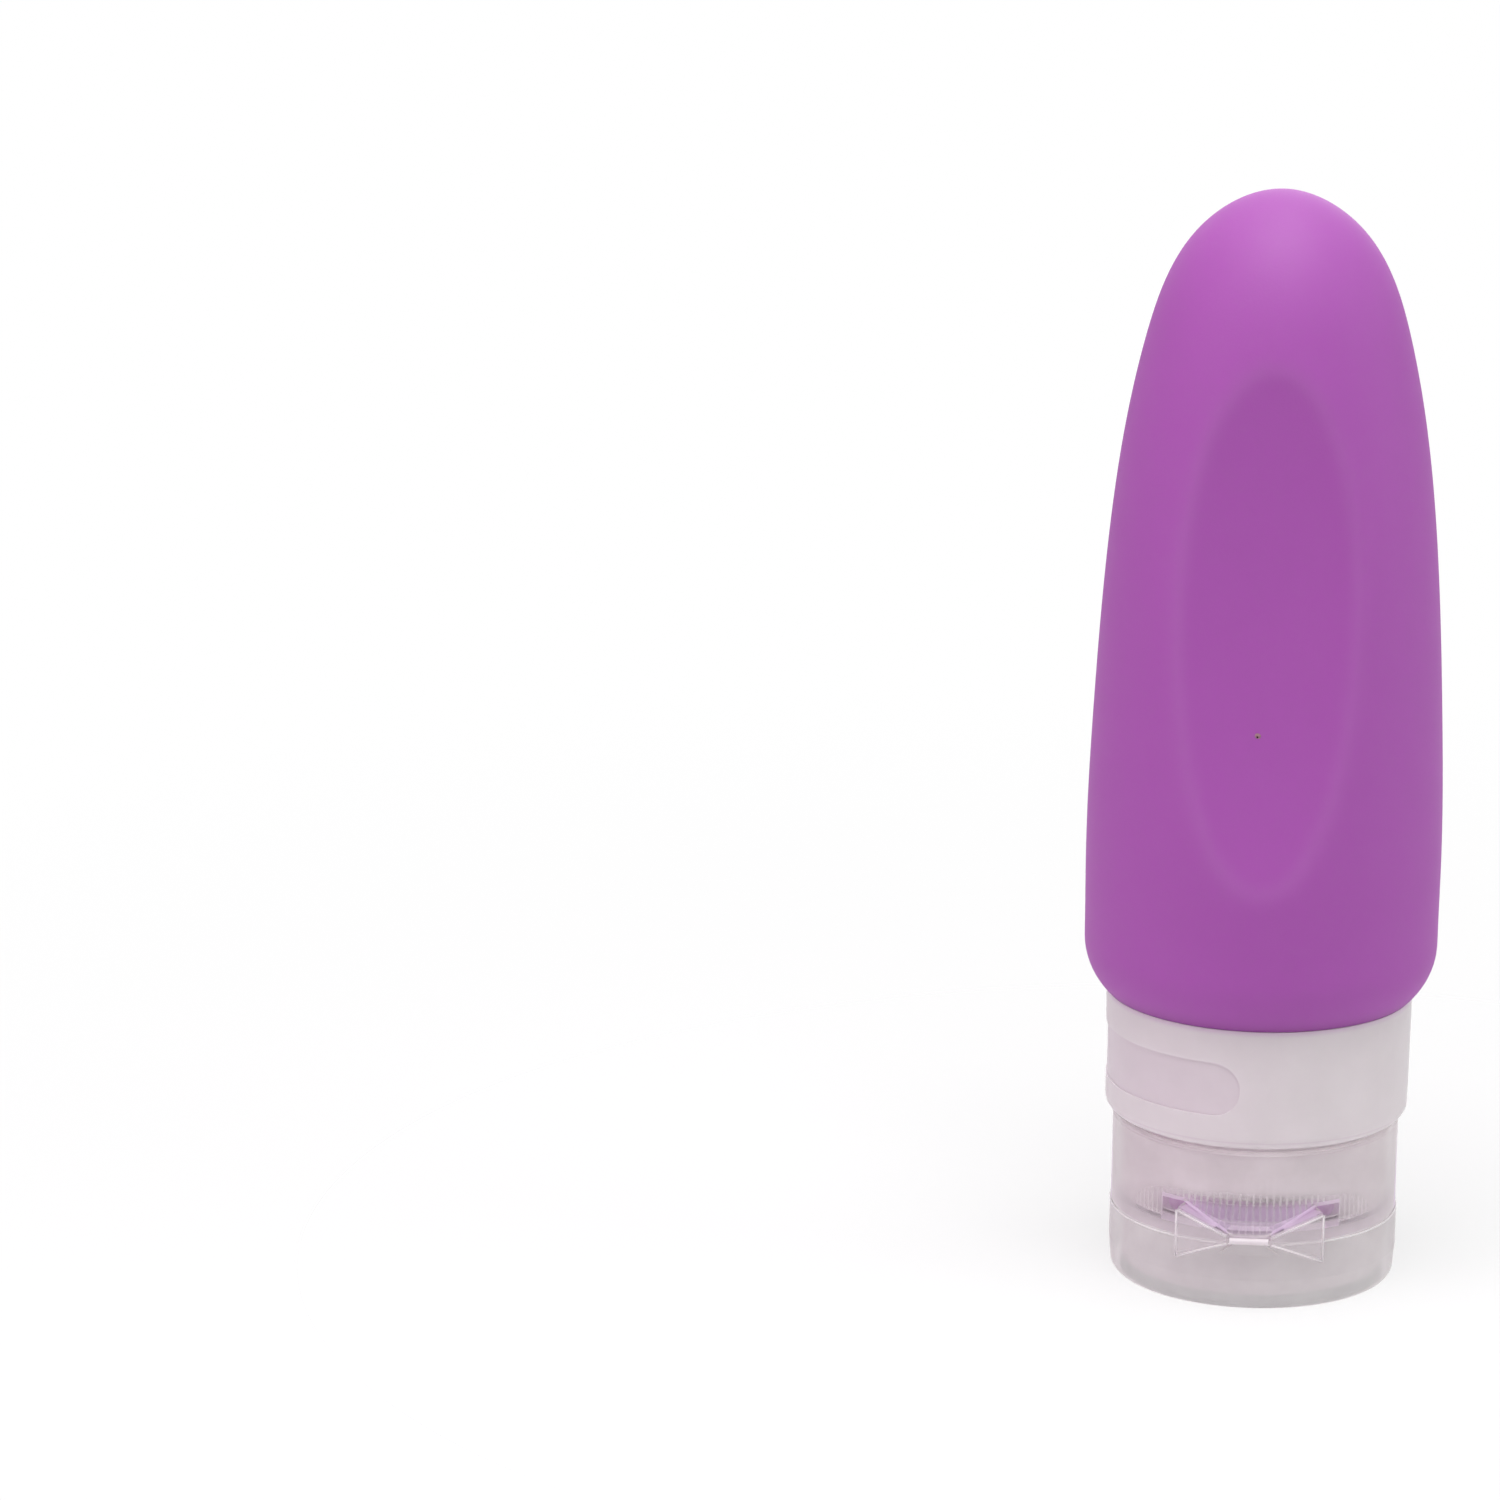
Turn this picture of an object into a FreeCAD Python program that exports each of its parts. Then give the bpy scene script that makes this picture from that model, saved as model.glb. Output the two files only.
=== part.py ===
import FreeCAD, Part
import math
import os

Vector = FreeCAD.Vector

# Travel squeeze bottle of silicone, standing upside down on its closed flip cap.
# Millimetres, +Z up. The origin is the centre of the lid's flat face, and the lid's hinge is at -Y.

# Squeeze body
overall_height = 140.5
body_radius = 22.45
shoulder_overhang = 2.95
shoulder_rise = 6.75
body_widest_rise = 11.5
body_wall = 1.9
# Radius and height of the side above the widest place, as shares of the body's radius and the height left
side_shares = ((0.977, 0.217), (0.92, 0.462), (0.735, 0.78), (0.44, 0.945))
dish_top_share = side_shares[2]
dish_depth = 1.75
dish_rim_round = 4.0
throat_wall = 1.9
lip_thickness = 1.8
lip_turn_height = 0.95
lip_wall = 0.7

# Neck sleeve that stiffens the silicone throat and carries the cap's thread and the label ring
neck_wall = 1.9
neck_web = 1.7
journal_step = 0.1
drum_wall = 1.2
drum_setback = 1.8

# Label ring behind the window
label_height = 8.6
label_thickness = 0.4
label_shoulder = 0.38

# Window collar
collar_height = 15.8
collar_overhang = 1.25
collar_taper = 0.2
collar_corner = 1.6
collar_wall = 1.3
collar_flange = 1.0
window_height = 7.0
window_start_angle = -103.0
window_sweep = 98.0
window_recess = 0.22
window_wall = 0.5

# Cap base
cap_radius = 18.15
base_height = 11.65
rim_bevel = 0.3
skirt_wall = 1.2
skirt_gap = 0.95
cap_deck = 1.4
thread_skirt_wall = 1.1
thread_skirt_setback = 1.55
platform_radius = 11.0
platform_drop = 2.8
platform_round = 0.8
platform_floor = 1.4
platform_wall = 1.5
orifice_radius = 4.2

# Flip lid
lid_height = 9.1
lid_overhang = 0.12
lid_wall = 1.5
lid_floor = 1.7
lid_corner = 1.2
lid_taper = 0.25
lid_taper_height = 4.0
stud_clearance = 0.7
stud_reach = 0.6
stud_chamfer = 0.6
thumb_lip_rise = 0.7
thumb_lip_height = 2.2
thumb_lip_angle = 52.0
scoop_half_width = 10.9
scoop_height = 5.7
scoop_depth = 0.5
notch_depth = 0.4
notch_start_angle = 68.0
notch_sweep = 35.0
notch_reach = 0.8

# Butterfly hinge
hinge_offset = 1.0
hinge_rise = 0.45
strap_radius = 0.4
strap_gap = 0.35
wing_thickness = 0.55
wing_inner_x = 2.8
wing_outer_x = 9.2
wing_setback = 1.5
wing_inner_half_height = 0.45
wing_outer_half_height = 3.0
ledge_thickness = 0.6
ledge_depth = 4.2
flare_height = 4.05
flare_wide_half_width = 8.4
lid_flare_height = 2.4
lid_flare_half_width = 4.2
flare_wall = 1.1
# Place of the flare's bulge between the skirt and its lower edge, across and along, as shares
flare_bulge_shares = (0.6, 0.5)
flare_gap = 0.85
pocket_margin = 2.0

# Valve
valve_flange = 1.2
valve_membrane = 0.8
valve_dome_rise = 2.2
valve_dome_radius = 4.6
slit_width = 0.2
slit_length = 6.0
valve_ring_gap = 1.2

# Clearances and cuts
running_clearance = 0.08
seat_clearance = 0.05
ring_clearance = 0.1
lip_clearance = 0.2
collar_clearance = 0.65
overrun = 1.0

# Heights and radii that follow from the sizes above
deck_top = lid_height + cap_deck
lip_bottom = deck_top + seat_clearance
lip_top = lip_bottom + lip_thickness
cap_rim = lid_height + base_height
thread_top = cap_rim - thread_skirt_setback
collar_bottom_height = cap_rim + collar_clearance
collar_top_height = collar_bottom_height + collar_height
collar_flange_bottom = collar_top_height - collar_flange
drum_bottom_height = collar_bottom_height + drum_setback
drum_top = collar_flange_bottom - seat_clearance
label_middle = collar_bottom_height + collar_height / 2
shoulder_height = collar_top_height + seat_clearance
body_corner_height = shoulder_height + shoulder_rise
body_widest_height = body_corner_height + body_widest_rise
platform_bottom = lid_height - platform_drop
valve_bottom = platform_bottom + platform_floor
lid_radius = cap_radius + lid_overhang
skirt_inner_radius = cap_radius - skirt_wall
thread_skirt_radius = skirt_inner_radius - skirt_gap
thread_inner_radius = thread_skirt_radius - thread_skirt_wall
lip_radius = thread_inner_radius - lip_clearance
neck_radius = lip_radius - lip_wall - ring_clearance
neck_inner_radius = neck_radius - neck_wall
throat_outer_radius = neck_inner_radius - ring_clearance
throat_radius = throat_outer_radius - throat_wall
journal_radius = neck_radius + journal_step
collar_top_radius = cap_radius + collar_overhang
collar_bottom_radius = collar_top_radius - collar_taper
collar_inner_radius = collar_bottom_radius - collar_wall
drum_radius = collar_inner_radius - running_clearance - label_thickness - seat_clearance
body_corner_radius = collar_top_radius + shoulder_overhang
valve_pocket_radius = platform_radius - platform_wall
hinge_y = -(cap_radius + hinge_offset)
hinge_z = lid_height + hinge_rise
wing_outer_y = wing_setback - cap_radius
flare_radius = cap_radius + hinge_offset - ring_clearance
origin = Vector(0, 0, 0)
up = Vector(0, 0, 1)


def turned(corners, start=0.0, sweep=360.0):
    """Solid of revolution about Z of an outline of (radius, height) corners, from an angle in plan."""
    points = [Vector(radius, 0, height) for radius, height in corners]
    face = Part.Face(Part.makePolygon(points + points[:1]))
    solid = face.revolve(origin, up, sweep)
    solid.rotate(origin, up, start)
    return solid


def tube(inner, outer, bottom, top, start=0.0, sweep=360.0):
    return turned(((inner, bottom), (outer, bottom), (outer, top), (inner, top)), start, sweep)


def curtain(corners, front, back):
    """Prism of an outline of (x, z) corners, from y = front to y = back."""
    points = [Vector(x, front, z) for x, z in corners]
    face = Part.Face(Part.makePolygon(points + points[:1]))
    return face.extrude(Vector(0, back - front, 0))


def mirrored_low(shape):
    """Mirror image of a hinge piece of the cap base on the lid's side of the hinge."""
    return shape.mirror(Vector(0, 0, hinge_z), up)


def save(shape, node):
    clean = shape.removeSplitter()
    clean.exportStep("parts/" + node + ".step")
    print(node, "solids", len(clean.Solids), "valid", clean.isValid(), "volume", round(clean.Volume, 2))


def body_form(inset):
    """Solid inside the body's outer surface, drawn in all round by inset, with the dishes pressed in."""
    radius = body_radius - inset
    bottom = shoulder_height + inset
    top = overall_height - inset
    seat = Vector(collar_top_radius - inset, 0, bottom)
    corner = Vector(body_corner_radius - inset, 0, body_corner_height)
    widest = Vector(radius, 0, body_widest_height)
    tip = Vector(0, 0, top)
    rise = top - body_widest_height
    side = [Vector(radius * r, 0, body_widest_height + rise * z) for r, z in side_shares]
    level = Vector(-1, 0, 0)
    curve = Part.BSplineCurve()
    curve.interpolate(Points=[corner, widest] + side + [tip], InitialTangent=up, FinalTangent=level)
    # The lower corner is the arc that meets the side upright
    run = corner.x - seat.x
    drop = corner.z - seat.z
    arc_radius = (run * run + drop * drop) / (2 * run)
    lean = math.asin(drop / arc_radius) / 2
    middle = corner - Vector(arc_radius * (1 - math.cos(lean)), 0, arc_radius * math.sin(lean))
    edges = [
        Part.makeLine(Vector(0, 0, bottom), seat),
        Part.Arc(seat, middle, corner).toShape(),
        curve.toShape(),
        Part.makeLine(tip, Vector(0, 0, bottom)),
    ]
    solid = Part.Face(Part.Wire(edges)).revolve(origin, up, 360)
    for front in (True, False):
        solid = solid.cut(dish_cutter(inset, front))
    return solid


def dish_cutter(inset, front):
    """Wide cylinder across the body whose side leaves the shallow oval dish."""
    radius_share, height_share = dish_top_share
    low = Vector(0, -body_radius, body_widest_height)
    dish_top = body_widest_height + (overall_height - body_widest_height) * height_share
    high = Vector(0, -body_radius * radius_share, dish_top)
    middle = (low + high) / 2 + Vector(0, dish_depth, 0)
    arc = Part.Arc(low, middle, high).toShape().Curve
    centre = Vector(-2 * body_radius, arc.Center.y, arc.Center.z)
    cutter = Part.makeCylinder(arc.Radius + inset, 4 * body_radius, centre, Vector(1, 0, 0))
    if not front:
        cutter.rotate(origin, up, 180)
    return cutter


def dish_rims(solid):
    """Edges of the dishes: those between a dish's wide cylinder and the body's side."""
    rims = []
    for face in solid.Faces:
        if isinstance(face.Surface, Part.Cylinder) and abs(face.Surface.Axis.x) > 0.5:
            rims += face.Edges
    return rims


def squeeze_body():
    outside = body_form(0)
    outside = outside.makeFillet(dish_rim_round, dish_rims(outside))
    shell = outside.cut(body_form(body_wall))
    neck_top = shoulder_height + body_wall
    lip = turned((
        (throat_radius, lip_bottom),
        (lip_radius, lip_bottom),
        (lip_radius, lip_top + lip_turn_height),
        (neck_radius + ring_clearance, lip_top + lip_turn_height),
        (neck_radius + ring_clearance, lip_top),
        (throat_outer_radius, lip_top),
        (throat_outer_radius, neck_top),
        (throat_radius, neck_top),
    ))
    bore = tube(0, throat_radius, lip_bottom, neck_top + overrun)
    return shell.fuse(lip).cut(bore)


def neck_sleeve():
    label_low = label_middle - label_height / 2 - seat_clearance
    label_high = label_middle + label_height / 2 + seat_clearance
    shoulder_radius = drum_radius + label_shoulder
    drum_inner = drum_radius - drum_wall
    return turned((
        (neck_inner_radius, lip_top),
        (neck_radius, lip_top),
        (neck_radius, drum_top - neck_web),
        (drum_inner, drum_top - neck_web),
        (drum_inner, drum_bottom_height),
        (shoulder_radius, drum_bottom_height),
        (shoulder_radius, label_low),
        (drum_radius, label_low),
        (drum_radius, label_high),
        (shoulder_radius, label_high),
        (shoulder_radius, drum_top),
        (journal_radius, drum_top),
        (journal_radius, collar_top_height),
        (neck_inner_radius, collar_top_height),
    ))


def label_ring():
    inner = drum_radius + seat_clearance
    low = label_middle - label_height / 2
    return tube(inner, inner + label_thickness, low, low + label_height)


def window_prism(half_height, front, back):
    """Part of a tube, from radius front to back, inside the window's outline with its round ends."""
    low = label_middle - half_height
    high = label_middle + half_height
    reach = back + overrun
    end_turn = math.degrees(half_height / collar_bottom_radius)
    start = window_start_angle - 90 + end_turn
    sweep = window_sweep - 2 * end_turn
    outline = tube(half_height, reach, low, high, start, sweep)
    for angle in (start, start + sweep):
        end = Part.makeCylinder(half_height, reach, origin, Vector(1, 0, 0))
        end.translate(Vector(0, 0, label_middle))
        end.rotate(origin, up, angle)
        outline = outline.fuse(end)
    return outline.common(tube(front, back, low - overrun, high + overrun))


def window_collar():
    corner_start = Vector(collar_bottom_radius - collar_corner, 0, collar_bottom_height)
    corner_end = Vector(collar_bottom_radius, 0, collar_bottom_height + collar_corner)
    bend = collar_corner * math.sqrt(0.5)
    corner_middle = Vector(corner_start.x + bend, 0, corner_end.z - bend)
    bore = journal_radius + running_clearance
    rest = [Vector(r, 0, z) for r, z in (
        (collar_top_radius, collar_top_height),
        (bore, collar_top_height),
        (bore, collar_flange_bottom),
        (collar_inner_radius, collar_flange_bottom),
        (collar_inner_radius, collar_bottom_height + collar_corner / 2),
        (corner_start.x, collar_bottom_height),
    )]
    outline = [Part.Arc(corner_start, corner_middle, corner_end).toShape()]
    outline += Part.makePolygon([corner_end] + rest).Edges
    collar = Part.Face(Part.Wire(outline)).revolve(origin, up, 360)
    half = window_height / 2
    pane_radius = collar_top_radius - collar_taper / 2 - window_recess
    recess = window_prism(half, pane_radius, collar_top_radius + overrun)
    hollow = window_prism(half, collar_inner_radius - overrun, pane_radius - window_wall)
    return collar.cut(recess).cut(hollow)


def flare(height, wide_half_width):
    """Lip that carries the strap, swelling out of the cap base's skirt down to the hinge line."""
    low = hinge_z + strap_radius + seat_clearance
    high = hinge_z + height
    inside = cap_radius - flare_wall
    swell = flare_radius - cap_radius
    start = Vector(cap_radius, 0, high)
    across_share, along_share = flare_bulge_shares
    middle = Vector(cap_radius + swell * across_share, 0, low + (high - low) * along_share)
    end = Vector(flare_radius, 0, low)
    low_inside = Vector(flare_radius - flare_wall, 0, low)
    outline = [Part.Arc(start, middle, end).toShape()]
    outline += Part.makePolygon([end, low_inside, Vector(inside, 0, high), start]).Edges
    lip = Part.Face(Part.Wire(outline)).revolve(origin, up, 90)
    lip.rotate(origin, up, -135)
    narrow = wing_inner_x - flare_gap
    trim = curtain((
        (-narrow, low),
        (narrow, low),
        (wide_half_width, high),
        (-wide_half_width, high),
    ), -2 * cap_radius, 0)
    return lip.common(trim)


def wing_points(side):
    """Inner and outer end of the wing's upper fold line; the line aims at the hinge axis."""
    setback = (wing_outer_y - hinge_y) * wing_inner_half_height / wing_outer_half_height
    inner = Vector(side * wing_inner_x, hinge_y + setback, hinge_z + wing_inner_half_height)
    outer = Vector(side * wing_outer_x, wing_outer_y, hinge_z + wing_outer_half_height)
    return inner, outer


def wing_inward(side):
    """Unit vector square to the wing's plane, towards the bottle's axis."""
    inner, outer = wing_points(side)
    run = Vector(outer.x - inner.x, outer.y - inner.y, 0)
    return Vector(-run.y * side, run.x * side, 0).normalize()


def ledge(side):
    """Web of the cap base that holds the wing along its upper fold line."""
    inner, outer = wing_points(side)
    inward = wing_inward(side)
    half = Vector(0, 0, ledge_thickness / 2)
    start = inward * (wing_thickness / 2 + ring_clearance)
    corners = [inner - half + start, outer - half + start, outer + half + start, inner + half + start]
    face = Part.Face(Part.makePolygon(corners + corners[:1]))
    return face.extrude(inward * ledge_depth)


def wing(side):
    inner, outer = wing_points(side)
    inward = wing_inward(side)
    low_inner = Vector(inner.x, inner.y, 2 * hinge_z - inner.z)
    low_outer = Vector(outer.x, outer.y, 2 * hinge_z - outer.z)
    back = inward * (-wing_thickness / 2)
    corners = [point + back for point in (inner, outer, low_outer, low_inner)]
    plate = Part.Face(Part.makePolygon(corners + corners[:1])).extrude(inward * wing_thickness)
    for first, last in ((inner, outer), (low_inner, low_outer), (outer, low_outer)):
        run = last - first
        plate = plate.fuse(Part.makeCylinder(wing_thickness / 2, run.Length, first, run))
    return plate


def hinge_strap():
    half_length = wing_inner_x - strap_gap
    start = Vector(-half_length, hinge_y, hinge_z)
    return Part.makeCylinder(strap_radius, 2 * half_length, start, Vector(1, 0, 0))


def cap_base():
    base = turned((
        (orifice_radius, platform_bottom),
        (platform_radius - platform_round, platform_bottom),
        (platform_radius, platform_bottom + platform_round),
        (platform_radius, lid_height),
        (cap_radius, lid_height),
        (cap_radius, cap_rim - rim_bevel),
        (cap_radius - rim_bevel, cap_rim),
        (skirt_inner_radius, cap_rim),
        (skirt_inner_radius, deck_top),
        (thread_skirt_radius, deck_top),
        (thread_skirt_radius, thread_top),
        (thread_inner_radius, thread_top),
        (thread_inner_radius, deck_top),
        (valve_pocket_radius, deck_top),
        (valve_pocket_radius, valve_bottom),
        (orifice_radius, valve_bottom),
    ))
    half_width = wing_outer_x + pocket_margin
    pocket = curtain((
        (-half_width, deck_top),
        (half_width, deck_top),
        (half_width, hinge_z + flare_height),
        (-half_width, hinge_z + flare_height),
    ), -2 * cap_radius, 0)
    skirt = tube(skirt_inner_radius - seat_clearance, cap_radius + overrun, deck_top, cap_rim)
    base = base.cut(pocket.common(skirt)).cut(thumb_scoop())
    ledges = ledge(1).fuse(ledge(-1)).cut(tube(0, thread_inner_radius + thread_skirt_wall / 2, 0, cap_rim))
    return base.fuse([flare(flare_height, flare_wide_half_width), ledges])


def thumb_scoop():
    """Shallow arch in the back of the skirt above the lid's thumb lip."""
    left = Vector(-scoop_half_width, 0, lid_height)
    right = Vector(scoop_half_width, 0, lid_height)
    crown = Vector(0, 0, lid_height + scoop_height)
    arch = Part.Face(Part.Wire([Part.Arc(left, crown, right).toShape(), Part.makeLine(right, left)]))
    shaft = arch.extrude(Vector(0, 2 * cap_radius, 0))
    return shaft.common(tube(cap_radius - scoop_depth, cap_radius + overrun, 0, cap_rim))


def thumb_lip():
    top = lid_height
    bottom = top - thumb_lip_height
    inside = cap_radius - lid_wall / 2
    return turned((
        (inside, bottom),
        (cap_radius, bottom),
        (cap_radius + thumb_lip_rise, bottom + thumb_lip_height / 2),
        (cap_radius + thumb_lip_rise, top - thumb_lip_height / 4),
        (cap_radius, top),
        (inside, top),
    ), 90 - thumb_lip_angle / 2, thumb_lip_angle)


def flip_lid():
    inner = cap_radius - lid_wall
    stud_radius = orifice_radius - stud_clearance
    stud_top = platform_bottom + stud_reach
    low_radius = lid_radius - lid_taper
    bend = lid_corner * math.sqrt(0.5)
    start = Vector(low_radius - lid_corner, 0, 0)
    middle = Vector(low_radius - lid_corner + bend, 0, lid_corner - bend)
    end = Vector(low_radius, 0, lid_corner)
    rest = [Vector(r, 0, z) for r, z in (
        (lid_radius, lid_taper_height),
        (lid_radius, lid_height - rim_bevel),
        (lid_radius - rim_bevel, lid_height),
        (inner, lid_height),
        (inner, lid_floor),
        (stud_radius, lid_floor),
        (stud_radius, stud_top - stud_chamfer),
        (stud_radius - stud_chamfer, stud_top),
        (0, stud_top),
        (0, 0),
        (start.x, 0),
    )]
    outline = [Part.Arc(start, middle, end).toShape()] + Part.makePolygon([end] + rest).Edges
    lid = Part.Face(Part.Wire(outline)).revolve(origin, up, 360)
    ledges = mirrored_low(ledge(1).fuse(ledge(-1))).cut(tube(0, inner + lid_wall / 2, 0, cap_rim))
    ledges = ledges.cut(tube(0, cap_radius + ring_clearance, lid_height, cap_rim))
    lip = mirrored_low(flare(lid_flare_height, lid_flare_half_width))
    lid = lid.fuse([lip, ledges, thumb_lip()])
    for side in (1, -1):
        start_angle = -90 + side * notch_start_angle - (notch_sweep if side < 0 else 0)
        notch = tube(cap_radius - notch_reach, cap_radius + overrun, lid_height - notch_depth,
                     lid_height + overrun, start_angle, notch_sweep)
        lid = lid.cut(notch)
    return lid


def no_drip_valve():
    """Silicone disc with a dome that opens along a cross slit when the body is squeezed."""
    bottom = valve_bottom
    rim = valve_pocket_radius - ring_clearance
    flange = tube(valve_dome_radius - valve_membrane, rim, bottom, bottom + valve_flange)

    def cap_of_sphere(radius_at_base, rise):
        sphere_radius = (radius_at_base ** 2 + rise ** 2) / (2 * rise)
        centre = Vector(0, 0, bottom + rise - sphere_radius)
        ball = Part.makeSphere(sphere_radius, centre)
        return ball.common(tube(0, rim, bottom, bottom + rise + overrun))

    outer = cap_of_sphere(valve_dome_radius, valve_dome_rise)
    hollow = cap_of_sphere(valve_dome_radius - valve_membrane, valve_dome_rise - valve_membrane)
    valve = flange.fuse(outer).cut(hollow)
    for turn in (0, 90):
        slit = Part.makeBox(slit_length, slit_width, valve_dome_rise + overrun,
                            Vector(-slit_length / 2, -slit_width / 2, bottom))
        slit.rotate(origin, up, turn)
        valve = valve.cut(slit)
    return valve


def valve_ring():
    inner = valve_dome_radius + valve_ring_gap
    outer = valve_pocket_radius - ring_clearance
    return tube(inner, outer, valve_bottom + valve_flange, deck_top - seat_clearance)


os.makedirs("parts", exist_ok=True)
save(squeeze_body(), "squeeze_body")
save(neck_sleeve(), "neck_sleeve")
save(label_ring(), "label_ring")
save(window_collar(), "window_collar")
save(cap_base(), "cap_base")
save(flip_lid(), "flip_lid")
save(hinge_strap(), "hinge_strap")
save(wing(-1), "hinge_wing_left")
save(wing(1), "hinge_wing_right")
save(no_drip_valve(), "no_drip_valve")
save(valve_ring(), "valve_ring")
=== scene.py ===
import bpy
import math
import numpy as np
from mathutils import Matrix, Vector


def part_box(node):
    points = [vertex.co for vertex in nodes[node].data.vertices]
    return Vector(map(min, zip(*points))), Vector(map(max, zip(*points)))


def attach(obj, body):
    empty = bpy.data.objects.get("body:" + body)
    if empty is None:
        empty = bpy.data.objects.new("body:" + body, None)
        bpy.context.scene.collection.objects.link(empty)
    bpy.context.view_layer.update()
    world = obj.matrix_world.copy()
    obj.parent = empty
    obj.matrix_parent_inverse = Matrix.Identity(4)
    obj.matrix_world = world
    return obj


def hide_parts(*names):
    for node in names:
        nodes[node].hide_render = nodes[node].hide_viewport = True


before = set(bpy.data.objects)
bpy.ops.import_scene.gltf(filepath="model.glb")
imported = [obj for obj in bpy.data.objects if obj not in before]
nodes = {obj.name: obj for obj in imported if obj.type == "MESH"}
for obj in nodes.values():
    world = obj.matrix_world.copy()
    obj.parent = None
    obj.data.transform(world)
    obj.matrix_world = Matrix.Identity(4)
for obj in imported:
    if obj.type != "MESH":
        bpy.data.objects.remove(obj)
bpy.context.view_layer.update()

# Looks of a travel squeeze bottle that stands upside down on its closed flip cap.
# Metres, +Z up, with the lid's hinge at -Y. Colours are linear.

# Camera, fitted to the photograph's frame of 1500 pixels
photo_side = 1500.0
focal_pixels = 8800.0
foot_pixel = (1250.8, 1264.4)
foot_depth = 1.1282
camera_pitch = 15.6
camera_roll = -0.82
camera_heading = 4.5
sensor_width = 36.0

# Silicone body
body_radius = 0.02245
body_wall = 0.0019
shoulder_rise = 0.00675
shoulder_overhang = 0.00295
widest_rise = 0.0115
# Radius and height of the side above the widest place, as shares of the body's radius and the height left
side_shares = ((0.977, 0.217), (0.92, 0.462), (0.735, 0.78), (0.44, 0.945))
# The dishes end at this row of the side's shares
dish_end_row = 2
dish_depth = 0.00175
dish_rim_round = 0.0014
least_slope = 0.001
lip_thickness = 0.0018
lip_turn_height = 0.00095
lip_wall = 0.0007
throat_wall = 0.0019
ring_clearance = 0.0001
seat_clearance = 0.00005
corner_round = 0.0003
body_rings = 220
shoulder_rings = 27
body_segments = 256

# Painted light and painted shade on the silicone: paler places are painted sheen or painted light, darker
# places are painted shade
rim_sheen_place = 0.0004
rim_sheen_width = 0.0014
rim_sheen_share = 0.024
lip_light_share = 0.16
tip_sheen_share = 0.032
tip_sheen_reach = 0.006
seam_shade_share = 0.6
seam_reach = 0.0011

# Moulding mark on the dish, with its width and rise from foot to top as shares
gate_height = 0.0754
gate_angle = -2.5
gate_radius = 0.0005
gate_rise = 0.00008
gate_rim_shares = ((1, 0), (0.7, 0.7), (0.25, 1))

# Screw thread on the neck and inside the cap's thread skirt
neck_foot_share = 0.3
thread_pitch = 0.0032
thread_turns = 1.4
thread_foot = 0.0016
thread_crest = 0.0007
neck_thread_depth = 0.0007
cap_thread_depth = 0.00013
cap_thread_radius = 0.0149
thread_start = 0.0142
thread_steps = 120
fade_turn = 25.0

# Cap base with the fine ribs inside its outer skirt, the hinge pocket and the tongue in front of it
rib_count = 126
rib_foot = 0.00028
rib_crest = 0.00008
rib_depth = 0.0001
rib_top = 0.0195
skirt_radius = 0.01695
deck_top = 0.0105
cap_core_radius = 0.0163
pocket_half_width = 0.0112
pocket_top = 0.0136
tongue_half_width = 0.0082
tongue_foot_half_width = 0.00195
tongue_radius = 0.01795
tongue_foot = 0.01
tongue_top_radius = 0.01705

# The cap's wall gets thin and clear around this place
thin_middle = (0, -0.0168, 0.0118)
thin_reach = (0.019, 0.012, 0.0032)
thin_haze = 0.1
thin_start_share = 0.45
thin_end_share = 1.35
thin_low = 0.0104
thin_high = 0.011

# Fine edge of the lid
lid_edge_round = 0.0001
lid_edge_height = 0.0088

# Painted purple light from the silicone colours the collar down to this depth
purple_light_depth = 0.0009
purple_light_share = 0.4

# Window in the collar
pane_radius = 0.01908
pane_slack = 0.00005
window_margin = 0.003

# Butterfly hinge
wing_inner_x = 0.0028
wing_outer_x = 0.0092
wing_outer_y = -0.01665
wing_inner_half_height = 0.00045
wing_outer_half_height = 0.003
bead_radius = 0.00013
bead_offset = 0.0002
bead_sides = 12

# Parts sink this far into what carries them
sink = 0.00003

# How much of a face's normal lies along a direction, for telling faces apart
level_share = 0.9
steep_share = 0.5
cut_share = 0.99

# Silicone
silicone_colours = ((0.354, 0.073, 0.385), (0.362, 0.076, 0.393))
painted_light_colour = (0.9, 0.8, 0.9)
seam_shade_colour = (0.1, 0.004, 0.1)
silicone_looks = {
    "Roughness": 0.62,
    "IOR": 1.41,
    "Specular IOR Level": 0.65,
    "Subsurface Weight": 0.55,
    "Subsurface Radius": (1.0, 0.35, 1.0),
    "Subsurface Scale": 0.0016,
}
pigment_scale = 55.0
pigment_detail = 2.0
grain_scale = 2600.0
grain_detail = 3.0
grain_strength = 0.12
grain_rise = 0.0001

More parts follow.
